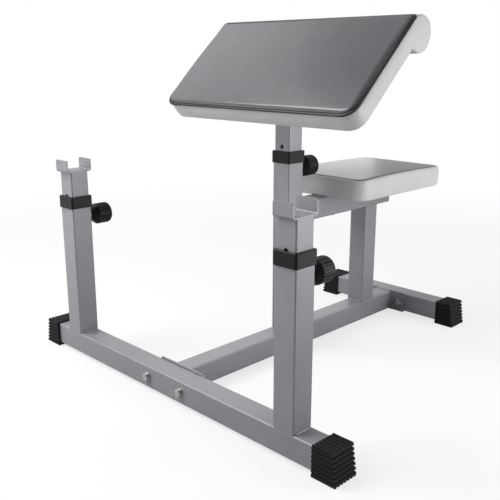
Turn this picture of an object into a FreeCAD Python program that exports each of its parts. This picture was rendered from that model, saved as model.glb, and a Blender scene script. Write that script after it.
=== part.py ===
"""Preacher curl bench: a bolted tube frame with a seat, two sliding bar posts and a sliding arm pad.

Frame: millimetres, +Z up, origin on the floor under the middle of the base. The sitter faces -Y, over
the sloping arm pad, towards the bar that lies in the two cradles. Left is -X and right is +X, as seen
from in front of the bench.
"""
import FreeCAD
import Part
import math
import os

# Square frame tube
tube = 50.0
tube_wall = 2.0
tube_corner = 3.0

# Base: front and rear tubes joined by a centre tube with bolted end plates
base_depth = 860.0
front_tube_length = 904.0
rear_tube_length = 414.0
foot_lift = 8.0
flange_bolt_margin = 15.0
flange_height = 56.0
flange_thickness = 4.0
flange_corner = 6.0
flange_bolt_spacing = 110.0

# Outer sleeves of the telescoping posts
sleeve_wall = 1.5
upright_inset = 109.0
upright_sleeve_height = 331.2
pad_post_setback = 386.9
pad_sleeve_above_beam = 119.4

# Seat post, seat beam and its end plug
seat_post_setback = 692.4
seat_post_height = 265.0
seat_beam_length = 356.0
plug_flange = 4.0
plug_depth = 18.0
plug_wall = 2.5
plug_clearance = 0.2

# Rubber feet
foot_grip = 37.0
foot_side_wall = 4.25
foot_end_wall = 6.0
foot_end_slant = 9.0
foot_rib_count = 7
foot_rib_depth = 2.0
foot_rib_land = 0.55
foot_rib_mouth = 0.3
foot_fit = 0.2

# Collars on the sleeves, each with a lining that guides the post
collar_wall = 2.5
collar_corner = 4.0
collar_skirt = 25.0
collar_top = 2.5
collar_chamfer = 1.0
collar_fit = 0.1
lining_depth = 30.0
lining_wall = 0.7

# Telescoping posts with their row of holes
post_side = 45.0
post_wall = 1.5
post_corner = 3.0
hole_pitch = 26.0
hole_bore = 10.5
holes_above_pin = 2
holes_below_pin = 4
post_tail = 40.0
bar_post_reach = 56.7
upright_pin_drop = 24.8
pad_pin_drop = 14.5

# Bar cradles
cradle_length = 63.6
cradle_height = 27.6
cradle_width = 46.0
cradle_plate = 3.2
cradle_bend = 2.0
cradle_corner = 3.0

# Spring pull pins
pin_diameter = 9.5
pin_insertion = 8.0
pin_tip_chamfer = 1.5
pin_hole_clearance = 0.3
shoulder_diameter = 10.6
shoulder_length = 3.0
shoulder_seat = 0.2
stem_diameter = 6.0
stem_in_knob = 14.0
stem_clearance = 0.2
housing_flats = 19.0
housing_hex_length = 8.0
barrel_diameter = 14.0
barrel_length = 22.0
barrel_end_wall = 3.0
barrel_bore = 11.0
spring_wire = 1.2
spring_clearance = 0.3
spring_turns = 6
spring_end_gap = 0.1

# Knobs
knob_gap = 7.5
knob_diameter = 49.0
knob_hub_diameter = 32.0
knob_cone_length = 11.0
knob_length = 45.0
knob_edge_radius = 6.0
knob_flute_count = 20
knob_flute_diameter = 5.0
knob_flute_depth = 0.9
knob_bore_clearance = 0.5
knob_bore_room = 2.0

# Arm pad, measured along its sloping face
pad_tilt = 43.2
pad_edge_height = 595.6
pad_edge_reach = 135.9
pad_width = 564.0
pad_thickness = 45.0
pad_corner = 32.0
pad_top_corner = 8.0
pad_roll_radius = 40.0
pad_roll_along = 269.0
pad_seam_along = 279.0
pad_crown = 8.0
pad_edge_crown = 4.0
pad_side_draw = 2.5
pad_board_thickness = 12.0
pad_board_inset = 11.0
pad_board_top = 222.0
pad_plate_width = 120.0
pad_plate_length = 140.0
pad_plate_thickness = 4.0
pad_bolt_x_spacing = 90.0
pad_bolt_y_spacing = 100.0

# Seat
seat_width = 260.0
seat_length = 369.0
seat_thickness = 48.0
seat_corner = 36.0
seat_front_gap = 87.1
seat_crown = 6.0
seat_edge_crown = 3.0
seat_side_draw = 2.0
seat_board_thickness = 12.0
seat_board_inset = 11.0
seat_front_bolt_inset = 55.0
seat_rear_bolt_inset = 28.0

# Upholstery covers
cover_thickness = 2.0
cover_gap = 0.3
soft_gap = 0.3
trim_margin = 5.0
piping_diameter = 5.0
piping_drop = 1.5
piping_overhang = 1.5
seat_cover_inset = 2.0

# Fasteners
flange_bolt_diameter = 10.0
flange_bolt_flats = 16.0
flange_bolt_head = 6.4
flange_nut_height = 8.4
flange_bolt_tail = 3.0
flange_washer_diameter = 20.0
flange_washer_thickness = 2.0
pad_bolt_diameter = 8.0
pad_bolt_flats = 13.0
pad_bolt_head = 5.3
pad_washer_diameter = 16.0
pad_washer_thickness = 1.6
tee_flange_diameter = 20.0
tee_flange_thickness = 1.5
tee_barrel_diameter = 10.0
tee_barrel_length = 9.0
bolt_hole_clearance = 0.25
thread_clearance = 0.05
head_crown_share = 0.95
head_chamfer_angle = 30.0

# Places that follow from the sizes above
front_face = -base_depth / 2
tube_top = foot_lift + tube
tube_middle = foot_lift + tube / 2
upright_y = front_face + tube / 2
pad_post_y = front_face + pad_post_setback
seat_post_y = front_face + seat_post_setback
beam_bottom = tube_top + seat_post_height
beam_top = beam_bottom + tube
beam_front = pad_post_y + tube / 2
beam_rear = beam_front + seat_beam_length
seat_front = beam_front + seat_front_gap
pad_sleeve_height = beam_top + pad_sleeve_above_beam - tube_top
upright_sleeve_top = tube_top + upright_sleeve_height
pad_sleeve_top = tube_top + pad_sleeve_height
upright_pin_z = upright_sleeve_top - collar_skirt - upright_pin_drop
pad_pin_z = pad_sleeve_top - collar_skirt - pad_pin_drop
cradle_z = upright_sleeve_top + collar_top + bar_post_reach
barrel_end = housing_hex_length + barrel_length
knob_start = housing_hex_length + knob_gap
upright_x = front_tube_length / 2 - upright_inset
sides = {"left": -upright_x, "right": upright_x}

X_AXIS = FreeCAD.Vector(1, 0, 0)
Y_AXIS = FreeCAD.Vector(0, 1, 0)
Z_AXIS = FreeCAD.Vector(0, 0, 1)
ALONG_X = FreeCAD.Rotation(Y_AXIS, 90)
ALONG_Y = FreeCAD.Rotation(X_AXIS, -90)
PAD_TURN = FreeCAD.Rotation(X_AXIS, pad_tilt)

edge_tolerance = 0.1
nodes = {}


def point(x, y, z=0.0):
    return FreeCAD.Vector(x, y, z)


def place(shape, at, turn=FreeCAD.Rotation()):
    """A copy of a shape that was built at the origin, turned and then moved."""
    moved = shape.copy()
    moved.Placement = FreeCAD.Placement(at, turn)
    return moved


def block(x0, x1, y0, y1, z0, z1):
    return Part.makeBox(x1 - x0, y1 - y0, z1 - z0, point(x0, y0, z0))


def rounded_wire(x0, x1, y0, y1, low_radius, high_radius, z=0.0):
    """A rectangle with one corner radius at its low-Y end and one at its high-Y end."""
    edges = []
    corners = [(x1, y0, -90, low_radius), (x1, y1, 0, high_radius),
               (x0, y1, 90, high_radius), (x0, y0, 180, low_radius)]
    ends = []
    for x, y, start, radius in corners:
        middle_x = x - math.copysign(radius, x - (x0 + x1) / 2)
        middle_y = y - math.copysign(radius, y - (y0 + y1) / 2)
        turn = []
        for angle in (start, start + 45, start + 90):
            a = math.radians(angle)
            turn.append(point(middle_x + radius * math.cos(a), middle_y + radius * math.sin(a), z))
        ends.append(turn)
    for index, turn in enumerate(ends):
        edges.append(Part.Arc(*turn).toShape())
        edges.append(Part.makeLine(turn[2], ends[(index + 1) % len(ends)][0]))
    return Part.Wire(edges)


def square_face(side, corner):
    half = side / 2
    return Part.Face(rounded_wire(-half, half, -half, half, corner, corner))


def square_bar(side, corner, length):
    """A square bar with rounded edges, standing on the origin."""
    return square_face(side, corner).extrude(Z_AXIS * length)


def square_tube(side, wall, corner, length):
    return square_bar(side, corner, length).cut(square_bar(side - 2 * wall, corner - wall / 2, length))


def rod(diameter, length):
    return Part.makeCylinder(diameter / 2, length)


def hexagon(flats, length):
    radius = flats / math.sqrt(3)
    corners = []
    for index in range(7):
        a = math.radians(60 * index)
        corners.append(point(radius * math.cos(a), radius * math.sin(a)))
    return Part.Face(Part.makePolygon(corners)).extrude(Z_AXIS * length)


def hex_head(flats, length):
    """A hexagon with the corners of its top end chamfered, as on a bolt head or a nut."""
    crown = head_crown_share * flats / 2
    base = crown + length / math.tan(math.radians(head_chamfer_angle))
    return hexagon(flats, length).common(Part.makeCone(base, crown, length))


def hex_bolt(diameter, flats, head, length):
    """A bolt with its shank up +Z from the origin and its head below."""
    head_down = place(hex_head(flats, head), point(0, 0, 0), FreeCAD.Rotation(X_AXIS, 180))
    return rod(diameter, length).fuse(head_down).removeSplitter()


def ring(outer, inner, height):
    return rod(outer, height).cut(rod(inner, height))


def hex_nut(flats, bolt_diameter, height):
    return hex_head(flats, height).cut(rod(bolt_diameter + 2 * thread_clearance, height))


def tee_nut(bolt_diameter):
    """A tee nut with its flange up +Z from the origin and its barrel below."""
    barrel = place(rod(tee_barrel_diameter, tee_barrel_length), point(0, 0, -tee_barrel_length))
    whole = rod(tee_flange_diameter, tee_flange_thickness).fuse(barrel).removeSplitter()
    drill = rod(bolt_diameter + 2 * thread_clearance, tee_flange_thickness + tee_barrel_length)
    return whole.cut(place(drill, point(0, 0, -tee_barrel_length)))


def drilled(shape, places, diameter, length, turn=FreeCAD.Rotation()):
    """Round holes of one size, each starting at a place and running along the turned +Z."""
    for at in places:
        shape = shape.cut(place(rod(diameter, length), at, turn))
    return shape


# Base tubes, drilled across for the flange bolts
bolt_hole = flange_bolt_diameter + 2 * bolt_hole_clearance
bolt_columns = (-flange_bolt_spacing / 2, flange_bolt_spacing / 2)
for name, length, outer_face in (("front_base_tube", front_tube_length, front_face),
                                 ("rear_base_tube", rear_tube_length, -front_face - tube)):
    cross_tube = square_tube(tube, tube_wall, tube_corner, length)
    cross_tube = place(cross_tube, point(-length / 2, outer_face + tube / 2, tube_middle), ALONG_X)
    holes = [point(x, outer_face, tube_middle) for x in bolt_columns]
    nodes[name] = drilled(cross_tube, holes, bolt_hole, tube, ALONG_Y)

center_length = base_depth - 2 * tube - 2 * flange_thickness
center_start = front_face + tube + flange_thickness
center_tube = square_tube(tube, tube_wall, tube_corner, center_length)
nodes["center_base_tube"] = place(center_tube, point(0, center_start, tube_middle), ALONG_Y)

flange_width = flange_bolt_spacing + 2 * flange_bolt_margin
flange_outline = rounded_wire(-flange_width / 2, flange_width / 2, -flange_height / 2, flange_height / 2,
                              flange_corner, flange_corner)
flange_plate = Part.Face(flange_outline).extrude(Z_AXIS * flange_thickness)
flange_plate = drilled(flange_plate, [point(x, 0) for x in bolt_columns], bolt_hole, flange_thickness)
nodes["front_flange_plate"] = place(flange_plate, point(0, front_face + tube, tube_middle), ALONG_Y)
rear_plate_y = -front_face - tube - flange_thickness
nodes["rear_flange_plate"] = place(flange_plate, point(0, rear_plate_y, tube_middle), ALONG_Y)

# Flange bolts: heads outside the base, nuts on the plates
bolts = []
washers = []
nuts = []
bolt_grip = tube + flange_thickness + 2 * flange_washer_thickness
bolt_length = bolt_grip + flange_nut_height + flange_bolt_tail
bolt = hex_bolt(flange_bolt_diameter, flange_bolt_flats, flange_bolt_head, bolt_length)
washer = ring(flange_washer_diameter, bolt_hole, flange_washer_thickness)
nut = hex_nut(flange_bolt_flats, flange_bolt_diameter, flange_nut_height)
for x in bolt_columns:
    for outward in (-1, 1):
        turn = FreeCAD.Rotation(X_AXIS, 90 * outward)
        head_y = outward * (base_depth / 2 + flange_washer_thickness)
        far_y = head_y - outward * (bolt_grip - flange_washer_thickness)
        bolts.append(place(bolt, point(x, head_y, tube_middle), turn))
        washers.append(place(washer, point(x, head_y, tube_middle), turn))
        washers.append(place(washer, point(x, far_y, tube_middle), turn))
        nuts.append(place(nut, point(x, head_y - outward * bolt_grip, tube_middle), turn))
nodes["flange_bolts"] = Part.makeCompound(bolts)
nodes["flange_washers"] = Part.makeCompound(washers)
nodes["flange_nuts"] = Part.makeCompound(nuts)

# Rubber feet: ribbed caps pushed over the base tube ends
foot_side = tube + 2 * (foot_side_wall + foot_rib_depth)
foot_length = foot_grip + foot_end_wall + foot_end_slant
pocket_rise = tube_middle - foot_side / 2


def ribbed_square(side, ribs, depth):
    """Outline of a square whose four sides carry flat-topped ribs."""
    pitch = side / ribs
    half = side / 2
    land = pitch * foot_rib_land / 2
    mouth = pitch * (1 - foot_rib_mouth) / 2
    profile = [(half - depth, half - depth)]
    for rib in range(ribs):
        middle = half - pitch * (rib + 0.5)
        if rib > 0:
            profile.append((middle + mouth, half - depth))
        profile += [(middle + land, half), (middle - land, half)]
        if rib < ribs - 1:
            profile.append((middle - mouth, half - depth))
    outline = []
    for quarter in range(4):
        turn = FreeCAD.Rotation(Z_AXIS, 90 * quarter)
        outline += [turn.multVec(point(along, out)) for along, out in profile]
    return Part.makePolygon(outline + outline[:1])


def rubber_foot():
    """A foot with its tube pocket opening down -Z, its slanted tread end at the top and its sole at -Y."""
    body = Part.Face(ribbed_square(foot_side, foot_rib_count, foot_rib_depth)).extrude(Z_AXIS * foot_length)
    half = foot_side / 2
    slope = foot_end_slant / foot_side
    wedge = [point(half, -half, foot_length), point(half, half, foot_length - foot_end_slant),
             point(half, half, foot_length), point(half, -half, foot_length)]
    body = body.cut(Part.Face(Part.makePolygon(wedge)).extrude(X_AXIS * -foot_side))
    pitch = foot_side / foot_rib_count
    groove = pitch * (1 - foot_rib_land)
    for index in range(1, foot_rib_count):
        middle = -half + pitch * index
        floor = foot_length - slope * (middle + half) - foot_rib_depth
        body = body.cut(block(-half, half, middle - groove / 2, middle + groove / 2, floor, foot_length))
    pocket = square_bar(tube + 2 * foot_fit, tube_corner, foot_grip)
    return body.cut(place(pocket, point(0, pocket_rise, 0)))


foot = rubber_foot()
for name, tube_half, y in (("front", front_tube_length / 2, upright_y),
                           ("rear", rear_tube_length / 2, -upright_y)):
    for side, sign in (("left", -1), ("right", 1)):
        lying = FreeCAD.Rotation(Y_AXIS, 90 * sign).multiply(FreeCAD.Rotation(Z_AXIS, 90 * sign))
        at = point(sign * (tube_half - foot_grip), y, foot_side / 2)
        nodes[name + "_" + side + "_foot"] = place(foot, at, lying)


def collar():
    """A collar with its top face at z = collar_top, over a sleeve whose end is at the origin."""
    outer = tube + 2 * collar_fit + 2 * collar_wall
    cap = place(square_bar(outer, collar_corner, collar_skirt + collar_top), point(0, 0, -collar_skirt))
    top_edges = [e for e in cap.Edges if min(v.Z for v in e.Vertexes) > collar_top - collar_chamfer / 2]
    cap = cap.makeChamfer(collar_chamfer, top_edges)
    skirt = square_bar(tube + 2 * collar_fit, tube_corner, collar_skirt)
    cap = cap.cut(place(skirt, point(0, 0, -collar_skirt)))
    inside = tube - 2 * sleeve_wall - 2 * collar_fit
    lining = place(square_bar(inside, tube_corner - sleeve_wall / 2, lining_depth + collar_top),
                   point(0, 0, -lining_depth))
    cap = cap.fuse(lining).removeSplitter()
    way = place(square_bar(inside - 2 * lining_wall, post_corner, lining_depth + collar_top),
                point(0, 0, -lining_depth))
    return cap.cut(way)


def post_holes(pin_z):
    return [pin_z + hole_pitch * step for step in range(-holes_below_pin, holes_above_pin + 1)]


def post(top, pin_z):
    """A telescoping tube on the z axis with its row of holes through front and back."""
    bottom = pin_z - holes_below_pin * hole_pitch - post_tail
    body = place(square_tube(post_side, post_wall, post_corner, top - bottom), point(0, 0, bottom))
    starts = [point(0, -post_side / 2, z) for z in post_holes(pin_z)]
    return drilled(body, starts, hole_bore, post_side, ALONG_Y)


def sleeve(height, pin_z):
    """An outer sleeve standing on the base tube, with the pull pin's hole in its back wall."""
    body = place(square_tube(tube, sleeve_wall, tube_corner, height), point(0, 0, tube_top))
    start = point(0, tube / 2 - sleeve_wall, pin_z)
    return drilled(body, [start], pin_diameter + 2 * pin_hole_clearance, sleeve_wall, ALONG_Y)


def cradle():
    """A bent plate in the shape of a U, open upwards, with its base plate's underside at the origin."""
    half = cradle_length / 2
    outer = cradle_bend + cradle_plate
    shape = block(-cradle_width / 2, cradle_width / 2, -half, half, 0, cradle_height)
    bends = [e for e in shape.Edges if abs(e.CenterOfMass.z) < edge_tolerance
             and abs(abs(e.CenterOfMass.y) - half) < edge_tolerance]
    shape = shape.makeFillet(outer, bends)
    hollow = block(-cradle_width / 2, cradle_width / 2, cradle_plate - half, half - cradle_plate,
                   cradle_plate, cradle_height + outer)
    inner = [e for e in hollow.Edges if abs(e.CenterOfMass.z - cradle_plate) < edge_tolerance
             and abs(abs(e.CenterOfMass.y) - half + cradle_plate) < edge_tolerance]
    shape = shape.cut(hollow.makeFillet(cradle_bend, inner))
    tips = [e for e in shape.Edges if abs(e.CenterOfMass.z - cradle_height) < edge_tolerance
            and abs(abs(e.CenterOfMass.x) - cradle_width / 2) < edge_tolerance]
    return shape.makeFillet(cradle_corner, tips)


# Pull pin pieces, built with +Z as the pull direction and the sleeve's outer face at the origin
def pin_housing():
    body = hex_head(housing_flats, housing_hex_length).fuse(rod(barrel_diameter, barrel_end)).removeSplitter()
    body = body.cut(rod(barrel_bore, barrel_end - barrel_end_wall))
    return body.cut(rod(stem_diameter + 2 * stem_clearance, barrel_end))


def pin():
    sleeve_to_post = (tube - post_side) / 2
    tip = -sleeve_to_post - pin_insertion
    knob_seat = barrel_end + knob_bore_room
    nose = Part.makeCone(pin_diameter / 2 - pin_tip_chamfer, pin_diameter / 2, pin_tip_chamfer)
    plunger = rod(pin_diameter, shoulder_seat - tip - pin_tip_chamfer)
    pieces = [place(plunger, point(0, 0, tip + pin_tip_chamfer)), place(nose, point(0, 0, tip)),
              place(rod(shoulder_diameter, shoulder_length), point(0, 0, shoulder_seat))]
    whole = rod(stem_diameter, knob_seat + stem_in_knob)
    for piece in pieces:
        whole = whole.fuse(piece)
    return whole.removeSplitter()


def bent_edges(start, heading, end, arrival):
    """Two arcs that join two points and leave and arrive along the given unit directions."""
    chord = end - start
    total = heading + arrival
    spread = 2 * (1 - heading.dot(arrival))
    across = chord.dot(total)
    reach = (math.sqrt(across * across + spread * chord.dot(chord)) - across) / spread
    first = start + heading * reach
    second = end - arrival * reach
    joint = (first + second) * 0.5
    edges = []
    for a, knee, b in ((start, first, joint), (joint, second, end)):
        half_chord = (b - a).Length / 2
        foot_of_knee = (a + b) * 0.5
        rise = knee - foot_of_knee
        bulge = half_chord * math.tan(math.atan2(rise.Length, half_chord) / 2)
        edges.append(Part.Arc(a, foot_of_knee + rise.normalize() * bulge, b).toShape())
    return edges


def pin_spring():
    """A coil spring between the pin's shoulder and the housing's end wall."""
    bottom = shoulder_seat + shoulder_length + spring_end_gap + spring_wire / 2
    top = barrel_end - barrel_end_wall - spring_end_gap - spring_wire / 2
    radius = (barrel_bore - spring_wire) / 2 - spring_clearance
    rise = (top - bottom) / (2 * math.pi * spring_turns)
    quarter = math.pi / 2

    def on_coil(angle):
        return point(radius * math.cos(angle), radius * math.sin(angle), bottom + rise * angle)

    def heading(angle):
        return point(-radius * math.sin(angle), radius * math.cos(angle), rise).normalize()

    edges = []
    for step in range(4 * spring_turns):
        a, b = step * quarter, (step + 1) * quarter
        edges += bent_edges(on_coil(a), heading(a), on_coil(b), heading(b))
    section = Part.Wire(Part.makeCircle(spring_wire / 2, on_coil(0), heading(0)))
    coil = Part.Wire(edges).makePipeShell([section], True, False)
    samples = 24
    line = [on_coil(2 * math.pi * k / samples) for k in range(samples * spring_turns + 1)]
    gaps = []
    for index, p in enumerate(line):
        gaps += [(p - q).Length - spring_wire for q in line[index + samples // 2:]]
    print("pin spring: least gap between turns %.2f mm" % min(gaps))
    return coil


def knob():
    """A fluted knob with a conical hub and a round-edged end."""
    radius = knob_diameter / 2
    end = knob_start + knob_length
    cone_end = knob_start + knob_cone_length
    bend = knob_edge_radius * (1 - math.sqrt(0.5))
    outline = [Part.makeLine(point(0, 0, knob_start), point(knob_hub_diameter / 2, 0, knob_start)),
               Part.makeLine(point(knob_hub_diameter / 2, 0, knob_start), point(radius, 0, cone_end)),
               Part.makeLine(point(radius, 0, cone_end), point(radius, 0, end - knob_edge_radius)),
               Part.Arc(point(radius, 0, end - knob_edge_radius), point(radius - bend, 0, end - bend),
                        point(radius - knob_edge_radius, 0, end)).toShape(),
               Part.makeLine(point(radius - knob_edge_radius, 0, end), point(0, 0, end)),
               Part.makeLine(point(0, 0, end), point(0, 0, knob_start))]
    body = Part.Face(Part.Wire(outline)).revolve(point(0, 0, 0), Z_AXIS, 360)
    flute_reach = radius + knob_flute_diameter / 2 - knob_flute_depth
    flute = place(rod(knob_flute_diameter, knob_length), point(flute_reach, 0, knob_start))
    for index in range(knob_flute_count):
        cut = flute.copy()
        cut.rotate(point(0, 0, 0), Z_AXIS, 360 * index / knob_flute_count)
        body = body.cut(cut)
    socket = rod(barrel_diameter + 2 * knob_bore_clearance, barrel_end + knob_bore_room)
    body = body.cut(socket)
    return body.cut(rod(stem_diameter + 2 * thread_clearance, barrel_end + knob_bore_room + stem_in_knob))


# Sleeves, collars and pull pins of the two uprights and of the arm pad's post
posts = [("left", "left_upright_sleeve", sides["left"], upright_y, upright_sleeve_height, upright_pin_z),
         ("right", "right_upright_sleeve", sides["right"], upright_y, upright_sleeve_height, upright_pin_z),
         ("pad", "pad_post_sleeve", 0.0, pad_post_y, pad_sleeve_height, pad_pin_z)]
collar_shape = collar()
pin_pieces = {"pin_housing": pin_housing(), "pin": pin(), "pin_spring": pin_spring(), "knob": knob()}
for name, sleeve_name, x, y, height, pin_z in posts:
    nodes[sleeve_name] = place(sleeve(height, pin_z), point(x, y, 0))
    nodes[name + "_collar"] = place(collar_shape, point(x, y, tube_top + height))
    for piece, shape in pin_pieces.items():
        nodes[name + "_" + piece] = place(shape, point(x, y + tube / 2, pin_z), ALONG_Y)

# Bar posts, each with a welded cradle
bar_post = post(cradle_z, upright_pin_z)
cradle_shape = cradle()
for side, x in sides.items():
    nodes[side + "_bar_post"] = place(bar_post, point(x, upright_y, 0))
    nodes[side + "_bar_cradle"] = place(cradle_shape, point(x, upright_y, cradle_z))

# Seat post and seat beam, the beam drilled for the seat bolts
nodes["seat_post"] = place(square_tube(tube, tube_wall, tube_corner, seat_post_height),
                           point(0, seat_post_y, tube_top))
seat_bolt_places = (seat_front + seat_front_bolt_inset, beam_rear - seat_rear_bolt_inset)
seat_bolt_hole = pad_bolt_diameter + 2 * bolt_hole_clearance
beam = place(square_tube(tube, tube_wall, tube_corner, seat_beam_length),
             point(0, beam_front, beam_bottom + tube / 2), ALONG_Y)
nodes["seat_beam"] = drilled(beam, [point(0, y, beam_bottom) for y in seat_bolt_places], seat_bolt_hole, tube)

plug_side = tube - 2 * tube_wall - 2 * plug_clearance
plug_corner = tube_corner - tube_wall / 2
plug = square_bar(tube, tube_corner, plug_flange).fuse(
    place(square_tube(plug_side, plug_wall, plug_corner, plug_depth), point(0, 0, -plug_depth)))
plug_rim = [e for e in plug.Edges if min(v.Z for v in e.Vertexes) > plug_flange - edge_tolerance]
plug = plug.makeFillet(tube_corner / 2, plug_rim)
nodes["seat_beam_cap"] = place(plug, point(0, beam_rear, beam_bottom + tube / 2), ALONG_Y)


# Upholstery, built with x across, y along the face and z out of the face
def crowned_section(x, outline, crown):
    """Closed outline at one x: a crowned top arc and straight or round edges for the rest."""
    (y0, z0), (y1, z1) = outline[0][0], outline[0][-1]
    middle = point(x, (y0 + y1) / 2, (z0 + z1) / 2 + crown)
    edges = [Part.Arc(point(x, y0, z0), middle, point(x, y1, z1)).toShape()]
    for stretch in outline[1:]:
        ends = [point(x, y, z) for y, z in stretch]
        edges.append(Part.makeLine(*ends) if len(ends) == 2 else Part.Arc(*ends).toShape())
    return Part.Wire(edges)


def crowned_solid(half_width, outline, edge_crown, crown):
    sections = [crowned_section(-half_width, outline, edge_crown), crowned_section(0.0, outline, crown),
                crowned_section(half_width, outline, edge_crown)]
    return Part.makeLoft(sections, True, False)


def drawn_sides(half_width, y0, y1, low_radius, high_radius, levels, draw):
    """A solid whose rounded outline is widest at its middle level and drawn in at the outer two."""
    wires = []
    for level, inset in zip(levels, (draw, 0.0, draw)):
        wires.append(rounded_wire(inset - half_width, half_width - inset, y0 + inset, y1 - inset,
                                  low_radius, high_radius, level))
    return Part.makeLoft(wires, True, False)


def box_outline(y0, y1, bottom, top):
    return [[(y0, top), (y1, top)], [(y1, top), (y1, bottom)],
            [(y1, bottom), (y0, bottom)], [(y0, bottom), (y0, top)]]


def rounded_slab(half_width, y0, y1, low_radius, high_radius, z0, z1):
    outline = rounded_wire(-half_width, half_width, y0, y1, low_radius, high_radius, z0)
    return Part.Face(outline).extrude(Z_AXIS * (z1 - z0))


def cover_panel(outline, half_width, y0, y1, top, edge_crown, crown):
    """A sheet of cover material that follows the crowned face of a cushion, trimmed to an outline."""
    deep = top - 2 * cover_thickness
    layers = []
    for height in (top, top - cover_thickness):
        section = box_outline(y0 - trim_margin, y1 + trim_margin, deep, height)
        layers.append(crowned_solid(half_width + trim_margin, section, edge_crown, crown))
    return layers[0].cut(layers[1]).common(outline)


# Seat
seat_half = seat_width / 2
seat_face = seat_thickness - cover_thickness - cover_gap
seat_outline = box_outline(-trim_margin, seat_length + trim_margin, 0.0, seat_face)
seat_cushion = crowned_solid(seat_half + trim_margin, seat_outline, seat_edge_crown, seat_crown)
seat_levels = (-trim_margin, seat_thickness / 2, seat_thickness + seat_crown)
seat_cushion = seat_cushion.common(drawn_sides(seat_half, 0.0, seat_length, seat_corner, seat_corner,
                                               seat_levels, seat_side_draw))
board_half = seat_half - seat_board_inset
board_end = seat_length - seat_board_inset
board_corner = seat_corner - seat_board_inset
seat_board = rounded_slab(board_half, seat_board_inset, board_end, board_corner, board_corner,
                          0.0, seat_board_thickness)
board_room = rounded_slab(board_half + soft_gap, seat_board_inset - soft_gap, board_end + soft_gap,
                          board_corner, board_corner, 0.0, seat_board_thickness + soft_gap)
seat_cushion = seat_cushion.cut(board_room)
tee_room_diameter = tee_flange_diameter + 2 * soft_gap
tee_room_depth = tee_flange_thickness + soft_gap
seat_tees = [point(0, y - seat_front, seat_board_thickness) for y in seat_bolt_places]
seat_cushion = drilled(seat_cushion, seat_tees, tee_room_diameter, tee_room_depth)
tee_hole = tee_barrel_diameter + 2 * thread_clearance
seat_board = drilled(seat_board, [point(0, p.y, 0) for p in seat_tees], tee_hole, seat_board_thickness)
cover_inset = seat_cover_inset + seat_side_draw
cover_corner = seat_corner - cover_inset
cover_outline = rounded_slab(seat_half - cover_inset, cover_inset, seat_length - cover_inset, cover_corner,
                             cover_corner, 0.0, seat_thickness + 2 * seat_crown)
seat_cover = cover_panel(cover_outline, seat_half, 0.0, seat_length, seat_thickness, seat_edge_crown,
                         seat_crown)
seat_origin = point(0, seat_front, beam_top)
nodes["seat_board"] = place(seat_board, seat_origin)
nodes["seat_cushion"] = place(seat_cushion, seat_origin)
nodes["seat_top_panel"] = place(seat_cover, seat_origin)

seat_bolt_length = pad_washer_thickness + tube + seat_board_thickness
seat_bolt = hex_bolt(pad_bolt_diameter, pad_bolt_flats, pad_bolt_head, seat_bolt_length)
small_washer = ring(pad_washer_diameter, seat_bolt_hole, pad_washer_thickness)
small_tee = tee_nut(pad_bolt_diameter)
under_beam = beam_bottom - pad_washer_thickness
board_top = beam_top + seat_board_thickness
for name, shape, z in (("seat_bolts", seat_bolt, under_beam), ("seat_washers", small_washer, under_beam),
                       ("seat_tee_nuts", small_tee, board_top)):
    nodes[name] = Part.makeCompound([place(shape, point(0, y, z)) for y in seat_bolt_places])

# Arm pad: the face runs up +y, its lower edge is at y = 0 and its back at z = -pad_thickness
pad_half = pad_width / 2
pad_origin = point(0, pad_post_y - pad_edge_reach, pad_edge_height)
pad_face = -cover_thickness - cover_gap
roll_z = -pad_roll_radius
notch_z = -pad_thickness
notch_y = pad_roll_along - math.sqrt(pad_roll_radius ** 2 - (notch_z - roll_z) ** 2)


def on_roll(angle):
    """A point on the armpit roll, its radius trimmed to stay under the cover at the face."""
    a = math.radians(angle)
    radius = pad_roll_radius + pad_face * max(0.0, math.sin(a))
    return (pad_roll_along + radius * math.cos(a), roll_z + radius * math.sin(a))


notch_angle = 180 + math.degrees(math.atan2(roll_z - notch_z, pad_roll_along - notch_y))
pad_start = -trim_margin
pad_outline = [[(pad_start, pad_face), on_roll(90)], [on_roll(90), on_roll(45), on_roll(0)],
               [on_roll(0), on_roll(-45), on_roll(-90)],
               [on_roll(-90), on_roll((notch_angle - 450) / 2), (notch_y, notch_z)],
               [(notch_y, notch_z), (pad_start, notch_z)], [(pad_start, notch_z), (pad_start, pad_face)]]
pad_cushion = crowned_solid(pad_half + trim_margin, pad_outline, pad_edge_crown, pad_crown)
pad_end = pad_roll_along + pad_roll_radius + pad_corner
pad_levels = (-2 * pad_roll_radius - trim_margin, -pad_thickness / 2, pad_crown + trim_margin)
pad_cushion = pad_cushion.common(drawn_sides(pad_half, 0.0, pad_end, pad_corner, pad_top_corner,
                                             pad_levels, pad_side_draw))
pad_board_half = pad_half - pad_board_inset
pad_board_corner = pad_corner - pad_board_inset
pad_board_face = pad_board_thickness - pad_thickness
pad_board = rounded_slab(pad_board_half, pad_board_inset, pad_board_top, pad_board_corner, pad_top_corner,
                         -pad_thickness, pad_board_face)
pad_board_room = rounded_slab(pad_board_half + soft_gap, pad_board_inset - soft_gap, pad_board_top + soft_gap,
                              pad_board_corner, pad_top_corner, -pad_thickness, pad_board_face + soft_gap)
pad_cushion = pad_cushion.cut(pad_board_room)

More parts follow.
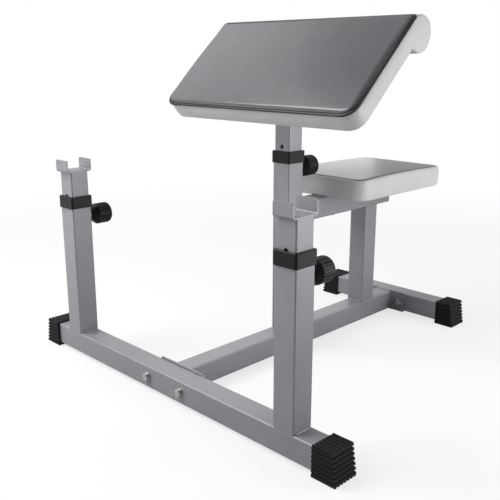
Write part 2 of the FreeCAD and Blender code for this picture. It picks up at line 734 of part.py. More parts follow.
# The post's axis meets the back of the pad here, which is the middle of the mounting plate
tilt = math.radians(pad_tilt)
plate_middle = (pad_edge_reach - pad_thickness * math.sin(tilt)) / math.cos(tilt)
pad_bolt_places = []
for x in (-pad_bolt_x_spacing / 2, pad_bolt_x_spacing / 2):
    for y in (plate_middle - pad_bolt_y_spacing / 2, plate_middle + pad_bolt_y_spacing / 2):
        pad_bolt_places.append(point(x, y, 0))
pad_tees = [p + Z_AXIS * pad_board_face for p in pad_bolt_places]
pad_cushion = drilled(pad_cushion, pad_tees, tee_room_diameter, tee_room_depth)
pad_back = [p - Z_AXIS * pad_thickness for p in pad_bolt_places]
pad_board = drilled(pad_board, pad_back, tee_hole, pad_board_thickness)

# Black piping along the seam round the dark front panel
path_half = pad_half + piping_overhang - piping_diameter / 2
path_low = piping_diameter / 2 - piping_overhang
piping_path = rounded_wire(-path_half, path_half, path_low, pad_seam_along, pad_corner - path_low,
                           pad_top_corner, -piping_drop)
panel_inset = piping_diameter / 2 + cover_gap
panel_half = path_half - panel_inset
panel_low = path_low + panel_inset
panel_high = pad_seam_along - panel_inset
panel_corner = pad_corner - panel_low
panel_top_corner = pad_top_corner - panel_inset
path_start = piping_path.Edges[0].Vertexes[0].Point
piping_section = Part.Wire(Part.makeCircle(piping_diameter / 2, path_start, X_AXIS))
piping = piping_path.makePipeShell([piping_section], True, False)
seam_floor = -piping_drop - panel_inset
seam_top = 2 * pad_crown
seam_room = block(-pad_width, pad_width, -pad_width, pad_seam_along + panel_inset, seam_floor, seam_top)
seam_room = seam_room.cut(rounded_slab(panel_half, panel_low, panel_high, panel_corner, panel_top_corner,
                                       seam_floor, seam_top))
pad_cushion = pad_cushion.cut(seam_room)
panel_outline = rounded_slab(panel_half, panel_low, panel_high, panel_corner, panel_top_corner,
                             -pad_thickness, seam_top)
pad_panel = cover_panel(panel_outline, pad_half, 0.0, pad_seam_along, 0.0, pad_edge_crown, pad_crown)

plate_low = plate_middle - pad_plate_length / 2
plate_back = -pad_thickness - pad_plate_thickness
pad_plate = block(-pad_plate_width / 2, pad_plate_width / 2, plate_low, plate_low + pad_plate_length,
                  plate_back, -pad_thickness)
plate_holes = [p + Z_AXIS * plate_back for p in pad_bolt_places]
pad_plate = drilled(pad_plate, plate_holes, seat_bolt_hole, pad_plate_thickness)
for name, shape in (("pad_cushion", pad_cushion), ("pad_front_panel", pad_panel), ("pad_piping", piping),
                    ("pad_board", pad_board), ("pad_mount_plate", pad_plate)):
    nodes[name] = place(shape, pad_origin, PAD_TURN)

pad_bolt_length = pad_washer_thickness + pad_plate_thickness + pad_board_thickness
pad_bolt = hex_bolt(pad_bolt_diameter, pad_bolt_flats, pad_bolt_head, pad_bolt_length)
bolt_seats = [p + Z_AXIS * (plate_back - pad_washer_thickness) for p in pad_bolt_places]
for name, shape, seats in (("pad_bolts", pad_bolt, bolt_seats), ("pad_washers", small_washer, bolt_seats),
                           ("pad_tee_nuts", small_tee, pad_tees)):
    group = Part.makeCompound([place(shape, at) for at in seats])
    nodes[name] = place(group, pad_origin, PAD_TURN)

# Arm pad post, its top mitred to the mounting plate
mitre_along = (pad_edge_reach + post_side / 2 + plate_back * math.sin(tilt)) / math.cos(tilt)
mitre_top = pad_edge_height + mitre_along * math.sin(tilt) + plate_back * math.cos(tilt)
tall_post = place(post(mitre_top, pad_pin_z), point(0, pad_post_y, 0))
over_plate = block(-post_side, post_side, 0, mitre_along, plate_back, plate_back + 2 * post_side)
nodes["pad_post"] = tall_post.cut(place(over_plate, pad_origin, PAD_TURN))

os.makedirs("parts", exist_ok=True)
for name, shape in nodes.items():
    shape.exportStep("parts/" + name + ".step")
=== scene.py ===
import math
import random

import bpy
from mathutils import Matrix, Vector, noise


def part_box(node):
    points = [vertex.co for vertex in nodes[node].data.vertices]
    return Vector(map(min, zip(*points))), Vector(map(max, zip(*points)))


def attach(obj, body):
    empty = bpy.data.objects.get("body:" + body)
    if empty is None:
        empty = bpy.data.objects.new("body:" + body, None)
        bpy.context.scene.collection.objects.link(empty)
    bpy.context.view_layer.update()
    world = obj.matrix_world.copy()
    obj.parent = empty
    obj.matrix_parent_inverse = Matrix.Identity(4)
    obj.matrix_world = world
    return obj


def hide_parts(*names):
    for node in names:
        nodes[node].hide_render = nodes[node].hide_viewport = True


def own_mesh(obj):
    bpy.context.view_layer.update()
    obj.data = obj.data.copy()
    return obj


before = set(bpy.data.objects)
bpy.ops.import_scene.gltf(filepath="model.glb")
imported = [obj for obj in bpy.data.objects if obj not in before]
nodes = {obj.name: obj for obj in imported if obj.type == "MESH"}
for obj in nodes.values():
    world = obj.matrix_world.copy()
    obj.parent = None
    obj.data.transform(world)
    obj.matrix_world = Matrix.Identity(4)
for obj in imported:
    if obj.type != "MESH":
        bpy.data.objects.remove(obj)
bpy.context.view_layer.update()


# Frame tubes and plates: square steel tube and flat plate, cut, bent, welded up and powder coated.
# The baked silver-grey coat shows a faint orange peel, a fine metallic fleck and satin highlights.
def linear(code):
    """An sRGB hex colour as the linear colour that a shader socket takes."""
    shares = [int(code[i:i + 2], 16) / 255 for i in (1, 3, 5)]
    return [s / 12.92 if s <= 0.04045 else ((s + 0.055) / 1.055) ** 2.4 for s in shares] + [1.0]


def add_node(material, kind, inputs, **settings):
    """Adds one node to a material; an input is a plain value or the output socket of an earlier node.

    The colour Mix node shares its inputs' names, so its share and two colours go by number: 0, 6 and 7.
    """
    tree = material.node_tree
    node = tree.nodes.new("ShaderNode" + kind)
    for name, value in settings.items():
        setattr(node, name, value)
    for name, value in inputs.items():
        if isinstance(value, bpy.types.NodeSocket):
            tree.links.new(value, node.inputs[name])
        else:
            node.inputs[name].default_value = value
    return node


def new_material(name):
    """An empty node material, and the Object coordinates that its textures use."""
    material = bpy.data.materials.new(name)
    material.use_nodes = True
    material.node_tree.nodes.clear()
    return material, add_node(material, "TexCoord", {}).outputs["Object"]


def finish_pieces(material, names):
    """Gives CAD pieces a finish through their own material slots."""
    for name in names:
        for slot in nodes[name].material_slots:
            slot.material = material


powder_coat, place = new_material("silver_grey_powder_coat")
coat_drift = 0.11
orange_peel = 0.0035
metal_fleck = 0.0016
drift = add_node(powder_coat, "TexNoise", {"Vector": place, "Scale": 1 / coat_drift, "Detail": 3.0})
peel = add_node(powder_coat, "TexNoise", {"Vector": place, "Scale": 1 / orange_peel, "Detail": 1.0})
fleck = add_node(powder_coat, "TexVoronoi", {"Vector": place, "Scale": 1 / metal_fleck})
coat_tone = add_node(powder_coat, "Mix", {0: drift.outputs["Fac"], 6: linear("#828288"),
                                          7: linear("#929298")}, data_type="RGBA")
fleck_share = add_node(powder_coat, "MapRange", {"Value": fleck.outputs["Distance"], "From Max": 0.5,
                                                 "To Min": 0.10, "To Max": 0.0})
coat_colour = add_node(powder_coat, "Mix", {0: fleck_share.outputs["Result"], 6: coat_tone.outputs[2],
                                            7: linear("#c8c8cc")}, data_type="RGBA")
coat_rough = add_node(powder_coat, "MapRange", {"Value": peel.outputs["Fac"], "To Min": 0.36, "To Max": 0.48})
coat_bump = add_node(powder_coat, "Bump", {"Height": peel.outputs["Fac"], "Strength": 0.12,
                                           "Distance": 0.0003})
coat = add_node(powder_coat, "BsdfPrincipled", {"Base Color": coat_colour.outputs[2], "Metallic": 0.25,
                                                "Roughness": coat_rough.outputs["Result"], "IOR": 1.5,
                                                "Normal": coat_bump.outputs["Normal"]})
add_node(powder_coat, "OutputMaterial", {"Surface": coat.outputs["BSDF"]})
finish_pieces(powder_coat, ("front_base_tube", "rear_base_tube", "center_base_tube", "front_flange_plate",
                            "rear_flange_plate", "left_upright_sleeve", "right_upright_sleeve",
                            "pad_post_sleeve", "seat_post", "seat_beam", "left_bar_post", "right_bar_post",
                            "left_bar_cradle", "right_bar_cradle", "pad_post", "pad_mount_plate"))


# Flange bolts with their washers and nuts, seat and pad bolts, tee nuts and the pull pins: cold-headed or
# turned steel, zinc plated and clear passivated. The plating is bright, a little uneven and slightly blue.
zinc, place = new_material("bright_zinc_plated_steel")
plate_patch = 0.006
turning_mark = 0.0009
patch = add_node(zinc, "TexNoise", {"Vector": place, "Scale": 1 / plate_patch, "Detail": 3.0})
mark = add_node(zinc, "TexNoise", {"Vector": place, "Scale": 1 / turning_mark, "Detail": 1.0})
zinc_colour = add_node(zinc, "Mix", {0: patch.outputs["Fac"], 6: linear("#b4b7bb"), 7: linear("#d6d5d0")},
                       data_type="RGBA")
zinc_rough = add_node(zinc, "MapRange", {"Value": patch.outputs["Fac"], "To Min": 0.14, "To Max": 0.3})
zinc_bump = add_node(zinc, "Bump", {"Height": mark.outputs["Fac"], "Strength": 0.15, "Distance": 0.0002})
plated = add_node(zinc, "BsdfPrincipled", {"Base Color": zinc_colour.outputs[2], "Metallic": 1.0,
                                           "Roughness": zinc_rough.outputs["Result"],
                                           "Normal": zinc_bump.outputs["Normal"]})
add_node(zinc, "OutputMaterial", {"Surface": plated.outputs["BSDF"]})
finish_pieces(zinc, ("flange_bolts", "flange_washers", "flange_nuts", "seat_bolts", "seat_washers",
                     "seat_tee_nuts", "pad_bolts", "pad_washers", "pad_tee_nuts", "left_pin_housing",
                     "right_pin_housing", "pad_pin_housing", "left_pin", "right_pin", "pad_pin"))


# Weld runs: fillets of filler metal along the feet of the posts, at the seat beam and under the cradles and
# the pad's plate, laid down in short overlapping drops and coated over with the frame. Where two tubes are
# flush the run is dressed down, so it only fills the groove between their rounded edges.
def place_mesh(piece, matrix):
    """Moves a piece made at the origin to its place and leaves its object unturned at the origin."""
    bpy.ops.object.select_all(action="DESELECT")
    piece.select_set(True)
    bpy.context.view_layer.objects.active = piece
    piece.matrix_world = matrix
    bpy.ops.object.transform_apply(location=True, rotation=True, scale=True)


weld_drop = 0.0022
weld_draw = 0.16
weld_tip = 0.35
weld_growth = 0.4
weld_sides = 12
fewest_drops = 4


def weld_run(name, start, end, radius, body):
    """A thin cylinder cut into rings; every second ring is drawn in and both ends taper off."""
    run = Vector(end) - Vector(start)
    rings = max(fewest_drops, round(run.length / weld_drop))
    bpy.ops.object.select_all(action="DESELECT")
    bpy.ops.mesh.primitive_cylinder_add(vertices=weld_sides, radius=radius, depth=run.length)
    bead = bpy.context.active_object
    bead.name = name
    for edge in bead.data.edges:
        low, high = (bead.data.vertices[v].co.z for v in edge.vertices)
        edge.select = abs(low - high) > run.length / 2
    bpy.context.tool_settings.mesh_select_mode = (False, True, False)
    bpy.ops.object.mode_set(mode="EDIT")
    bpy.ops.mesh.subdivide(number_cuts=rings - 1)
    bpy.ops.object.mode_set(mode="OBJECT")
    for vertex in bead.data.vertices:
        ring = round((vertex.co.z / run.length + 0.5) * rings)
        end_taper = min(1.0, weld_tip + weld_growth * min(ring, rings - ring))
        width = end_taper * (1 - weld_draw * (ring % 2))
        vertex.co.x *= width
        vertex.co.y *= width
    bpy.ops.object.shade_smooth()
    turn = Vector((0, 0, 1)).rotation_difference(run).to_matrix().to_4x4()
    place_mesh(bead, Matrix.Translation((Vector(start) + Vector(end)) / 2) @ turn)
    bead.data.materials.append(powder_coat)
    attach(bead, body)


tube_half = 0.025
weld_half = 0.0215
fillet = 0.0026
fillet_sunk = 0.0003
dressed = 0.0024
dressed_sunk = 0.0022
fillet_out = tube_half + fillet_sunk
flush_out = tube_half - dressed_sunk
for post, sleeve in (("left", "left_upright_sleeve"), ("right", "right_upright_sleeve"),
                     ("pad", "pad_post_sleeve"), ("seat", "seat_post")):
    low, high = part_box(sleeve)
    x, y = (low.x + high.x) / 2, (low.y + high.y) / 2
    for number, side in ((1, -1), (2, 1)):
        weld_name = "%s_post_weld_%d" % (post, number)
        seam_name = "%s_post_seam_%d" % (post, number)
        out = side * fillet_out
        flush = side * flush_out
        z = low.z + fillet_sunk
        if post in ("left", "right"):
            weld_run(weld_name, (x + out, y - weld_half, z), (x + out, y + weld_half, z), fillet, "frame")
            weld_run(seam_name, (x - weld_half, y + flush, low.z), (x + weld_half, y + flush, low.z), dressed,
                     "frame")
        else:
            weld_run(weld_name, (x - weld_half, y + out, z), (x + weld_half, y + out, z), fillet, "frame")
            weld_run(seam_name, (x + flush, y - weld_half, low.z), (x + flush, y + weld_half, low.z), dressed,
                     "frame")

base_low, base_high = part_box("center_base_tube")
base_middle = (base_low.z + base_high.z) / 2
for plate, y in (("front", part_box("front_flange_plate")[1].y + fillet_sunk),
                 ("rear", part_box("rear_flange_plate")[0].y - fillet_sunk)):
    weld_run(plate + "_flange_weld_1", (-weld_half, y, base_high.z + fillet_sunk),
             (weld_half, y, base_high.z + fillet_sunk), fillet, "frame")
    for number, x in ((2, -fillet_out), (3, fillet_out)):
        weld_run("%s_flange_weld_%d" % (plate, number), (x, y, base_middle - weld_half),
                 (x, y, base_middle + weld_half), fillet, "frame")

seat_post_low, seat_post_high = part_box("seat_post")
seat_post_y = (seat_post_low.y + seat_post_high.y) / 2
beam_low, beam_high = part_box("seat_beam")
beam_middle = (beam_low.z + beam_high.z) / 2
for number, side in ((1, -1), (2, 1)):
    y, z = seat_post_y + side * fillet_out, beam_low.z - fillet_sunk
    weld_run("seat_beam_weld_%d" % number, (-weld_half, y, z), (weld_half, y, z), fillet, "frame")
    x = side * flush_out
    weld_run("seat_beam_seam_%d" % number, (x, seat_post_y - weld_half, beam_low.z),
             (x, seat_post_y + weld_half, beam_low.z), dressed, "frame")
    y, z = beam_low.y + fillet_sunk, beam_middle + side * fillet_out
    weld_run("pad_sleeve_weld_%d" % number, (-weld_half, y, z), (weld_half, y, z), fillet, "frame")
    weld_run("pad_sleeve_seam_%d" % number, (x, beam_low.y, beam_middle - weld_half),
             (x, beam_low.y, beam_middle + weld_half), dressed, "frame")

post_half = 0.0225
post_weld_half = 0.0195
for bar in ("left", "right"):
    low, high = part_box(bar + "_bar_post")
    x, y, z = (low.x + high.x) / 2, (low.y + high.y) / 2, high.z - fillet_sunk
    for number, out in ((1, -post_half - fillet_sunk), (2, post_half + fillet_sunk)):
        weld_run("%s_cradle_weld_%d" % (bar, number), (x - post_weld_half, y + out, z),
                 (x + post_weld_half, y + out, z), fillet, bar + "_bar_carriage")


# Rubber feet: ribbed caps moulded in black rubber and pushed over the ends of the base tubes.
# The rubber is matt, with a faint grey bloom and fine moulding grain.
rubber, place = new_material("moulded_black_rubber")
bloom_patch = 0.018
rubber_grain = 0.0014
bloom = add_node(rubber, "TexNoise", {"Vector": place, "Scale": 1 / bloom_patch, "Detail": 4.0})
grain = add_node(rubber, "TexNoise", {"Vector": place, "Scale": 1 / rubber_grain, "Detail": 2.0})
rubber_colour = add_node(rubber, "Mix", {0: bloom.outputs["Fac"], 6: linear("#08080a"), 7: linear("#131315")},
                         data_type="RGBA")
rubber_rough = add_node(rubber, "MapRange", {"Value": grain.outputs["Fac"], "To Min": 0.62, "To Max": 0.85})
rubber_bump = add_node(rubber, "Bump", {"Height": grain.outputs["Fac"], "Strength": 0.25, "Distance": 0.0003})
moulded_rubber = add_node(rubber, "BsdfPrincipled", {"Base Color": rubber_colour.outputs[2], "IOR": 1.52,
                                                     "Specular IOR Level": 0.3,
                                                     "Roughness": rubber_rough.outputs["Result"],
                                                     "Normal": rubber_bump.outputs["Normal"]})
add_node(rubber, "OutputMaterial", {"Surface": moulded_rubber.outputs["BSDF"]})
finish_pieces(rubber, ("front_left_foot", "front_right_foot", "rear_left_foot", "rear_right_foot"))


# Collars, knobs and the beam's end plug: injection-moulded black plastic, pushed on, screwed on or tapped in.
# The moulds are spark eroded, which leaves a fine even grain and a dull gloss.
plastic, place = new_material("moulded_black_polypropylene")
spark_grain = 0.0011
flow_mark = 0.03
spark = add_node(plastic, "TexVoronoi", {"Vector": place, "Scale": 1 / spark_grain}, feature="SMOOTH_F1")
flow = add_node(plastic, "TexNoise", {"Vector": place, "Scale": 1 / flow_mark, "Detail": 2.0})
plastic_colour = add_node(plastic, "Mix", {0: flow.outputs["Fac"], 6: linear("#070708"),
                                           7: linear("#0e0e0f")}, data_type="RGBA")
plastic_rough = add_node(plastic, "MapRange", {"Value": flow.outputs["Fac"], "To Min": 0.38, "To Max": 0.5})
plastic_bump = add_node(plastic, "Bump", {"Height": spark.outputs["Distance"], "Strength": 0.2,
                                          "Distance": 0.0002})
moulded_plastic = add_node(plastic, "BsdfPrincipled", {"Base Color": plastic_colour.outputs[2], "IOR": 1.49,
                                                       "Specular IOR Level": 0.25,
                                                       "Roughness": plastic_rough.outputs["Result"],
                                                       "Normal": plastic_bump.outputs["Normal"]})
add_node(plastic, "OutputMaterial", {"Surface": moulded_plastic.outputs["BSDF"]})
finish_pieces(plastic, ("left_collar", "right_collar", "pad_collar", "left_knob", "right_knob", "pad_knob",
                        "seat_beam_cap"))


# Pull pin springs: hard-drawn steel wire, coiled cold and left oiled inside the housing. Each one bears on
# the housing's end wall and is pressed together when its knob is drawn out.
wire, place = new_material("oiled_spring_steel")
drawing_mark = 0.0006
drawn = add_node(wire, "TexNoise", {"Vector": place, "Scale": 1 / drawing_mark, "Detail": 2.0})
wire_colour = add_node(wire, "Mix", {0: drawn.outputs["Fac"], 6: linear("#6b6a68"), 7: linear("#8d8c89")},
                       data_type="RGBA")
wire_rough = add_node(wire, "MapRange", {"Value": drawn.outputs["Fac"], "To Min": 0.25, "To Max": 0.45})
spring_wire = add_node(wire, "BsdfPrincipled", {"Base Color": wire_colour.outputs[2], "Metallic": 1.0,
                                                "Roughness": wire_rough.outputs["Result"]})
add_node(wire, "OutputMaterial", {"Surface": spring_wire.outputs["BSDF"]})
finish_pieces(wire, ("left_pin_spring", "right_pin_spring", "pad_pin_spring"))
for pin in ("left_pin", "right_pin", "pad_pin"):
    low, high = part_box(pin + "_spring")
    coil = bpy.data.objects.new(pin + "_coil", nodes[pin + "_spring"].data.copy())
    bpy.context.scene.collection.objects.link(coil)
    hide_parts(pin + "_spring")
    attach(coil, "frame")
    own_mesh(coil)


# Seat board: 12 mm poplar plywood, sawn round and drilled for the tee nuts. Its face shows long pale grain
# and its sawn edge shows the dark and light plies.
def plywood_material(name, turn_x, lift):
    """Plywood whose sheet lies in the XY plane turned about X, with its plies counted from a height."""
    board, coords = new_material(name)
    ply = 0.0024
    wave_step = 0.05
    grain_width = 0.004
    grain_stretch = 14
    flat = add_node(board, "Mapping", {"Vector": coords, "Location": (0, 0, -lift),
                                       "Rotation": (-turn_x, 0, 0)})
    stretched = add_node(board, "Mapping", {"Vector": flat.outputs["Vector"],
                                            "Scale": (1 / grain_stretch, 1, 1)})
    fibre = add_node(board, "TexNoise", {"Vector": stretched.outputs["Vector"], "Scale": 1 / grain_width,
                                         "Detail": 4.0, "Distortion": 0.6})
    layers = add_node(board, "TexWave", {"Vector": flat.outputs["Vector"], "Scale": wave_step / ply,
                                         "Distortion": 0.0}, bands_direction="Z")
    layer_share = add_node(board, "MapRange", {"Value": layers.outputs["Fac"], "To Max": 0.45})
    wood = add_node(board, "Mix", {0: fibre.outputs["Fac"], 6: linear("#a88358"), 7: linear("#d3b68a")},
                    data_type="RGBA")
    sawn = add_node(board, "Mix", {0: layer_share.outputs["Result"], 6: wood.outputs[2],
                                   7: linear("#7d5c3a")}, data_type="RGBA")
    fibre_bump = add_node(board, "Bump", {"Height": fibre.outputs["Fac"], "Strength": 0.2,
                                          "Distance": 0.0003})
    surface = add_node(board, "BsdfPrincipled", {"Base Color": sawn.outputs[2], "Roughness": 0.7, "IOR": 1.45,
                                                 "Normal": fibre_bump.outputs["Normal"]})
    add_node(board, "OutputMaterial", {"Surface": surface.outputs["BSDF"]})
    return board


seat_low, seat_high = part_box("seat_cushion")
finish_pieces(plywood_material("poplar_plywood_seat", 0.0, seat_low.z), ("seat_board",))


# Seat cushion: a block of firm foam on the board, boxed in pale grey vinyl that is drawn down over the edges
# and stapled under the board. The vinyl swells a little between its seam and the board, and its top edge
# stands as a pale roll round the sunk top panel.
def vinyl_material(name, dark, light, rough_low, rough_high):
    """Calendered upholstery vinyl: an embossed leather grain with painted shade in its creases, soft tone
    drift and a plasticised sheen.
    """
    vinyl, coords = new_material(name)
    emboss = 0.0018
    pore = 0.0007
    wash = 0.06
    cells = add_node(vinyl, "TexVoronoi", {"Vector": coords, "Scale": 1 / emboss}, feature="SMOOTH_F1")
    pores = add_node(vinyl, "TexNoise", {"Vector": coords, "Scale": 1 / pore, "Detail": 2.0})
    tone = add_node(vinyl, "TexNoise", {"Vector": coords, "Scale": 1 / wash, "Detail": 3.0})
    colour = add_node(vinyl, "Mix", {0: tone.outputs["Fac"], 6: linear(dark), 7: linear(light)},
                      data_type="RGBA")
    # Painted shade: the grain's cell borders are mixed up to 12% towards a fixed grey (#4a4a4d), which
    # darkens the creases of the pale vinyl; on the black piping the same grey lightens them.
    crease_shade_share = add_node(vinyl, "MapRange", {"Value": cells.outputs["Distance"], "From Max": 0.7,
                                           "To Max": 0.12})
    colour_with_crease_shade = add_node(vinyl, "Mix", {0: crease_shade_share.outputs["Result"], 6: colour.outputs[2],
                                      7: linear("#4a4a4d")}, data_type="RGBA")
    gloss = add_node(vinyl, "MapRange", {"Value": pores.outputs["Fac"], "To Min": rough_low,
                                         "To Max": rough_high})
    fine = add_node(vinyl, "Bump", {"Height": pores.outputs["Fac"], "Strength": 0.05, "Distance": 0.0002})
    leather = add_node(vinyl, "Bump", {"Height": cells.outputs["Distance"], "Strength": 0.12,
                                       "Distance": -0.0003, "Normal": fine.outputs["Normal"]})
    surface = add_node(vinyl, "BsdfPrincipled", {"Base Color": colour_with_crease_shade.outputs[2], "IOR": 1.5,
                                                 "Roughness": gloss.outputs["Result"],
                                                 "Normal": leather.outputs["Normal"]})
    add_node(vinyl, "OutputMaterial", {"Surface": surface.outputs["BSDF"]})
    return vinyl


pale_vinyl = vinyl_material("pale_grey_upholstery_vinyl", "#c4c4c7", "#d3d3d5", rough_low=0.42,
                            rough_high=0.56)
foam_voxel = 0.005
swell_frames = 20
swell_pressure = 4.0
skin_stiffness = 12.0
still = 1e-9


def swollen(name, node, matrix, held, cap):
    """Foam under vinyl: a copy of the plain solid, blown up a little by cloth simulation where it isn't held.

    The matrix takes the piece from the axes it lies straight in to its place.
    """
    mesh = nodes[node].data.copy()
    mesh.transform(matrix.inverted())
    cushion = bpy.data.objects.new(name, mesh)
    bpy.context.scene.collection.objects.link(cushion)
    bpy.ops.object.select_all(action="DESELECT")
    cushion.select_set(True)
    bpy.context.view_layer.objects.active = cushion
    bpy.ops.object.mode_set(mode="EDIT")
    bpy.ops.mesh.select_all(action="SELECT")
    bpy.ops.mesh.remove_doubles(threshold=1e-5)
    bpy.ops.object.mode_set(mode="OBJECT")
    cushion.data.remesh_voxel_size = foam_voxel
    bpy.ops.object.voxel_remesh()
    bpy.ops.object.mode_set(mode="EDIT")
    bpy.ops.mesh.select_all(action="SELECT")
    bpy.ops.mesh.vertices_smooth(factor=0.5, repeat=1)
    bpy.ops.object.mode_set(mode="OBJECT")
    start = [v.co.copy() for v in cushion.data.vertices]
    group = cushion.vertex_groups.new(name="held")
    group.add([i for i, co in enumerate(start) if held(co)], 1.0, "REPLACE")
    cloth = cushion.modifiers.new("skin", "CLOTH")
    skin = cloth.settings
    skin.quality = 5
    skin.use_pressure = True
    skin.uniform_pressure_force = swell_pressure
    skin.tension_stiffness = skin.compression_stiffness = skin.shear_stiffness = skin_stiffness
    skin.vertex_group_mass = "held"
    skin.effector_weights.gravity = 0.0
    for step in range(1, swell_frames + 1):
        bpy.context.scene.frame_set(step)
    bpy.ops.object.modifier_apply(modifier="skin")
    bpy.context.scene.frame_set(1)
    for vertex, before in zip(cushion.data.vertices, start):
        moved = vertex.co - before
        if moved.length > still:
            vertex.co = before + moved.normalized() * cap * (1 - math.exp(-moved.length / cap))
    return cushion


def finish_cushion(cushion, matrix, material, body, slot, fill, *replaced):
    """One subdivision, the vinyl, and the piece's place on its body."""
    bpy.ops.object.select_all(action="DESELECT")
    cushion.select_set(True)
    bpy.context.view_layer.objects.active = cushion
    rounder = cushion.modifiers.new("rounder", "SUBSURF")
    rounder.levels = rounder.render_levels = 1
    bpy.ops.object.modifier_apply(modifier="rounder")
    bpy.ops.object.shade_smooth()
    place_mesh(cushion, matrix)
    cushion.data.materials.clear()
    cushion.data.materials.append(material)
    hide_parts(*replaced)
    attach(cushion, body)


def outline_depth(x, y, half, y0, y1, low_radius, high_radius):
    """How far a point lies inside a rounded rectangle that is symmetric in x."""
    radius = low_radius if y < (y0 + y1) / 2 else high_radius
    dx = abs(x) - (half - radius)
    dy = abs(y - (y0 + y1) / 2) - ((y1 - y0) / 2 - radius)
    outside = math.hypot(max(dx, 0), max(dy, 0))
    return radius - outside - min(max(dx, dy), 0)


seat_place = Matrix.Translation((0, seat_low.y, seat_low.z))
seat_half = (seat_high.x - seat_low.x) / 2
seat_length = seat_high.y - seat_low.y
seat_top = 0.048
seat_plump = 0.0032
seat_corner = 0.036
seat_seam_inset = 0.0075
seat_seam_corner = 0.025
seat_seam_depth = 0.0036
seat_seam_slope = 0.004
seat_top_band = 0.007
seat_dip_band = 0.012
seat_board_depth = 0.0135
seat_swell = 0.003
seat_fill = 0.9
cushion_foot = 0.002
cushion_lip = 0.007


def seat_seam(co):
    """How far a point lies inside the seam round the top panel, with tighter corners than the cushion's."""
    return outline_depth(co.x, co.y, seat_half - seat_seam_inset, seat_seam_inset,
                         seat_length - seat_seam_inset, seat_seam_corner, seat_seam_corner)


def seat_held(co):
    """The sewn top, the foot and the inside round the board don't swell."""
    top = co.z > seat_top - seat_top_band and seat_seam(co) > 0
    inside = outline_depth(co.x, co.y, seat_half, 0, seat_length, seat_corner, seat_corner)
    return top or co.z < cushion_foot or (co.z < seat_board_depth and inside > cushion_lip)


seat_cover = swollen("seat_cover", "seat_cushion", seat_place, seat_held, seat_swell)
for vertex in seat_cover.data.vertices:
    vertex.co.z *= 1 + seat_plump / seat_top
    if vertex.co.z > seat_top - seat_dip_band:
        share = min(1.0, max(0.0, seat_seam(vertex.co) / seat_seam_slope))
        vertex.co.z -= seat_seam_depth * share * share * (3 - 2 * share)
finish_cushion(seat_cover, seat_place, pale_vinyl, "frame", "pale_vinyl", seat_fill, "seat_cushion")


# Seat underside: the cover's cut edge is turned under the board all round, apart from where the beam passes,
# and held by galvanised staples that are shot in by hand, so they stand a little unevenly.
wrap_width = 0.035
wrap_cell = 0.005
wrap_sheet = 0.0008
wrap_sunk = 0.0002
staple_crown = 0.010
staple_width = 0.0013
staple_wire = 0.0007
staple_leg = 0.003
staple_pitch = 0.026
staple_inset = 0.021
staple_stray = 0.002
staple_skew = 0.2
facing_up = 0.9
shots = random.Random(11)


def rounded_corner(x, y, half_x, half_y, radius):
    """Takes a point of a rectangle round the origin to the same rectangle with rounded corners."""
    a = (abs(x) - half_x + radius) / radius
    b = (abs(y) - half_y + radius) / radius
    if a > 0 and b > 0:
        x = math.copysign(half_x - radius + radius * a * math.sqrt(1 - b * b / 2), x)
        y = math.copysign(half_y - radius + radius * b * math.sqrt(1 - a * a / 2), y)
    return x, y


def turned_edge(cover, half, y0, y1, low_corner, high_corner, level, gap_half, gap_y, matrix):
    """The turned-under edge of a cover: a flat ring with a gap, joined to the cover it belongs to."""
    half_y = (y1 - y0) / 2
    bpy.ops.object.select_all(action="DESELECT")
    bpy.ops.mesh.primitive_grid_add(x_subdivisions=round(2 * half / wrap_cell),
                                    y_subdivisions=round(2 * half_y / wrap_cell), size=2)
    ring = bpy.context.active_object
    for vertex in ring.data.vertices:
        radius = low_corner if vertex.co.y < 0 else high_corner
        x, y = rounded_corner(vertex.co.x * half, vertex.co.y * half_y, half, half_y, radius)
        vertex.co = (x, y + (y0 + y1) / 2, level)
    bpy.context.tool_settings.mesh_select_mode = (False, False, True)
    bpy.ops.object.mode_set(mode="EDIT")
    bpy.ops.mesh.select_all(action="DESELECT")
    bpy.ops.object.mode_set(mode="OBJECT")
    for face in ring.data.polygons:
        at = face.center
        in_gap = abs(at.x) < gap_half + wrap_cell / 2 and abs(at.y - gap_y) < wrap_width
        face.select = in_gap or min(half - abs(at.x), at.y - y0, y1 - at.y) > wrap_width
    bpy.ops.object.mode_set(mode="EDIT")
    bpy.ops.mesh.delete(type="FACE")
    bpy.ops.object.mode_set(mode="OBJECT")
    sheet = ring.modifiers.new("sheet", "SOLIDIFY")
    sheet.thickness = wrap_sheet
    sheet.offset = -1.0
    bpy.ops.object.modifier_apply(modifier="sheet")
    place_mesh(ring, matrix)
    ring.data.materials.append(pale_vinyl)
    cover.select_set(True)
    bpy.context.view_layer.objects.active = cover
    bpy.ops.object.join()


